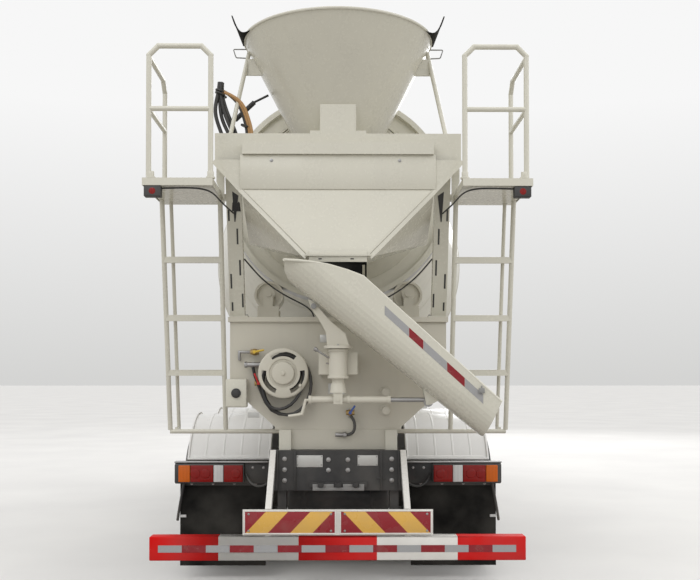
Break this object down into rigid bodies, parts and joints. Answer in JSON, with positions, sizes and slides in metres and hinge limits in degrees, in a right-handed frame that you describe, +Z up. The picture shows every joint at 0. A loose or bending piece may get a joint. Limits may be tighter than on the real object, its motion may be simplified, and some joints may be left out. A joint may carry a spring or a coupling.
{
  "type": "concrete mixer truck",
  "caption": "Cab-over concrete mixer truck with tilted drum, charging hopper, swivelling rear chute, platforms, ladders, tilting cab, doors, steering and spinning wheels.",
  "frame": {"origin": "on the floor under the middle of the truck's box", "axes": "+Y is forward to the cab, +Z is up, +X is the truck's right side"},
  "size_m": [2.97, 8.842, 3.994],
  "materials": {
    "white_paint": "gloss paint",
    "cream_paint": "satin paint",
    "black_paint": "satin paint",
    "bumper_paint": "gloss red and white bands",
    "board_paint": "gloss paint with marker plates",
    "rubber": "matt",
    "tyre": "matt",
    "rim_paint": "silver paint",
    "steel": "worn steel",
    "engine_grey": "cast, oily",
    "interior": "grained",
    "glass": "clear",
    "lamp_lens": "lens",
    "black_plastic": "grained",
    "tank_metal": "satin"
  },
  "bodies": {
    "chassis": {"frame": "black_paint", "front_axle": "black_paint", "rear_axles": "black_paint", "engine": "engine_grey", "side_tanks": "tank_metal", "front_bumper": "black_plastic", "front_steps": "black_paint", "lamps": "lamp_lens", "underrun_bar": "bumper_paint", "marker_board": "board_paint", "rear_fenders": "white_paint", "rubber_flaps": "rubber", "subframe": "white_paint", "front_pedestal": "white_paint", "drum_drive": "steel", "water_tank": "white_paint", "air_intake": "black_paint", "rear_support": "cream_paint", "hopper_frame": "white_paint", "collector": "white_paint", "funnel": "white_paint", "platforms": "white_paint", "ladders": "white_paint", "hose_reel": "cream_paint", "hoses": "rubber"},
    "cab": {"cab_shell": "white_paint", "cab_glass": "glass", "cab_interior": "interior", "grille": "black_plastic", "mirrors": "black_plastic"},
    "door_left": {"door_left": "white_paint", "door_glass_left": "glass"},
    "door_right": {"door_right": "white_paint", "door_glass_right": "glass"},
    "knuckle_left": {"knuckle_left": "black_paint"},
    "knuckle_right": {"knuckle_right": "black_paint"},
    "tie_rod": {"tie_rod": "steel"},
    "wheel_front_left": {"rim_front_left": "rim_paint", "tyre_front_left": "tyre"},
    "wheel_front_right": {"rim_front_right": "rim_paint", "tyre_front_right": "tyre"},
    "wheels_mid_left": {"rims_mid_left": "rim_paint", "tyres_mid_left": "tyre"},
    "wheels_mid_right": {"rims_mid_right": "rim_paint", "tyres_mid_right": "tyre"},
    "wheels_rear_left": {"rims_rear_left": "rim_paint", "tyres_rear_left": "tyre"},
    "wheels_rear_right": {"rims_rear_right": "rim_paint", "tyres_rear_right": "tyre"},
    "drum": {"drum": "white_paint"},
    "roller_left": {"roller_left": "steel"},
    "roller_right": {"roller_right": "steel"},
    "chute_column": {"chute_column": "cream_paint"},
    "chute": {"chute": "white_paint"},
    "jack_tube": {"jack_tube": "cream_paint"},
    "jack_rod": {"jack_rod": "steel"}
  },
  "joints": [
    {"name": "cab_tilt", "type": "hinge", "parent": "chassis", "child": "cab", "pos_m": [0, 4.22, 0.75], "axis": [-1, 0, 0], "range_deg": [0, 55]},
    {"name": "door_left_hinge", "type": "hinge", "parent": "cab", "child": "door_left", "pos_m": [-1.214, 4.024, 1.6], "axis": [0, 0, -1], "range_deg": [0, 70]},
    {"name": "door_right_hinge", "type": "hinge", "parent": "cab", "child": "door_right", "pos_m": [1.214, 4.024, 1.6], "axis": [0, 0, 1], "range_deg": [0, 70]},
    {"name": "steer_left", "type": "hinge", "parent": "chassis", "child": "knuckle_left", "pos_m": [-0.86, 2.95, 0.545], "axis": [0, 0, 1], "range_deg": [-35, 35]},
    {"name": "steer_right", "type": "hinge", "parent": "chassis", "child": "knuckle_right", "pos_m": [0.86, 2.95, 0.545], "axis": [0, 0, 1], "range_deg": [-35, 35]},
    {"name": "tie_rod_end", "type": "hinge", "parent": "knuckle_left", "child": "tie_rod", "pos_m": [-0.86, 2.78, 0.42], "axis": [0, 0, 1], "range_deg": [-35, 35]},
    {"name": "wheel_front_left_spin", "type": "hinge", "parent": "knuckle_left", "child": "wheel_front_left", "pos_m": [-1.02, 2.95, 0.545], "axis": [1, 0, 0], "continuous": true},
    {"name": "wheel_front_right_spin", "type": "hinge", "parent": "knuckle_right", "child": "wheel_front_right", "pos_m": [1.02, 2.95, 0.545], "axis": [1, 0, 0], "continuous": true},
    {"name": "wheels_mid_left_spin", "type": "hinge", "parent": "chassis", "child": "wheels_mid_left", "pos_m": [-0.91, -1.1, 0.545], "axis": [1, 0, 0], "continuous": true},
    {"name": "wheels_mid_right_spin", "type": "hinge", "parent": "chassis", "child": "wheels_mid_right", "pos_m": [0.91, -1.1, 0.545], "axis": [1, 0, 0], "continuous": true},
    {"name": "wheels_rear_left_spin", "type": "hinge", "parent": "chassis", "child": "wheels_rear_left", "pos_m": [-0.91, -2.45, 0.545], "axis": [1, 0, 0], "continuous": true},
    {"name": "wheels_rear_right_spin", "type": "hinge", "parent": "chassis", "child": "wheels_rear_right", "pos_m": [0.91, -2.45, 0.545], "axis": [1, 0, 0], "continuous": true},
    {"name": "drum_spin", "type": "hinge", "parent": "chassis", "child": "drum", "pos_m": [0, -1.33, 2.61], "axis": [0, 0.9833, -0.1822], "continuous": true},
    {"name": "roller_left_spin", "type": "hinge", "parent": "chassis", "child": "roller_left", "pos_m": [-0.53, -3.19787, 2.12934], "axis": [0, 0.9833, -0.1822], "continuous": true},
    {"name": "roller_right_spin", "type": "hinge", "parent": "chassis", "child": "roller_right", "pos_m": [0.53, -3.19787, 2.12934], "axis": [0, 0.9833, -0.1822], "continuous": true},
    {"name": "chute_swivel", "type": "hinge", "parent": "chassis", "child": "chute_column", "pos_m": [0, -4.13, 1.6], "axis": [0, 0, 1], "range_deg": [-180, 0]},
    {"name": "chute_pitch", "type": "hinge", "parent": "chute_column", "child": "chute", "pos_m": [-0.16, -4.13, 1.98], "axis": [0, -1, 0], "range_deg": [-4, 12]},
    {"name": "jack_pitch", "type": "hinge", "parent": "chute_column", "child": "jack_tube", "pos_m": [0, -4.13, 1.362], "axis": [0, -1, 0], "range_deg": [-5, 15]},
    {"name": "jack_slide", "type": "slide", "parent": "jack_tube", "child": "jack_rod", "axis": [1, 0, 0], "range_m": [-0.06, 0.14]}
  ],
  "couplings": [
    {"joint": "steer_right", "follows": "steer_left", "ratio": 1},
    {"joint": "tie_rod_end", "follows": "steer_left", "ratio": -1},
    {"joint": "roller_left_spin", "follows": "drum_spin", "ratio": -7.8182},
    {"joint": "roller_right_spin", "follows": "drum_spin", "ratio": -7.8182},
    {"joint": "jack_pitch", "follows": "chute_pitch", "ratio": 1.19},
    {"joint": "jack_slide", "follows": "chute_pitch", "m_per_rad": 0.619}
  ]
}
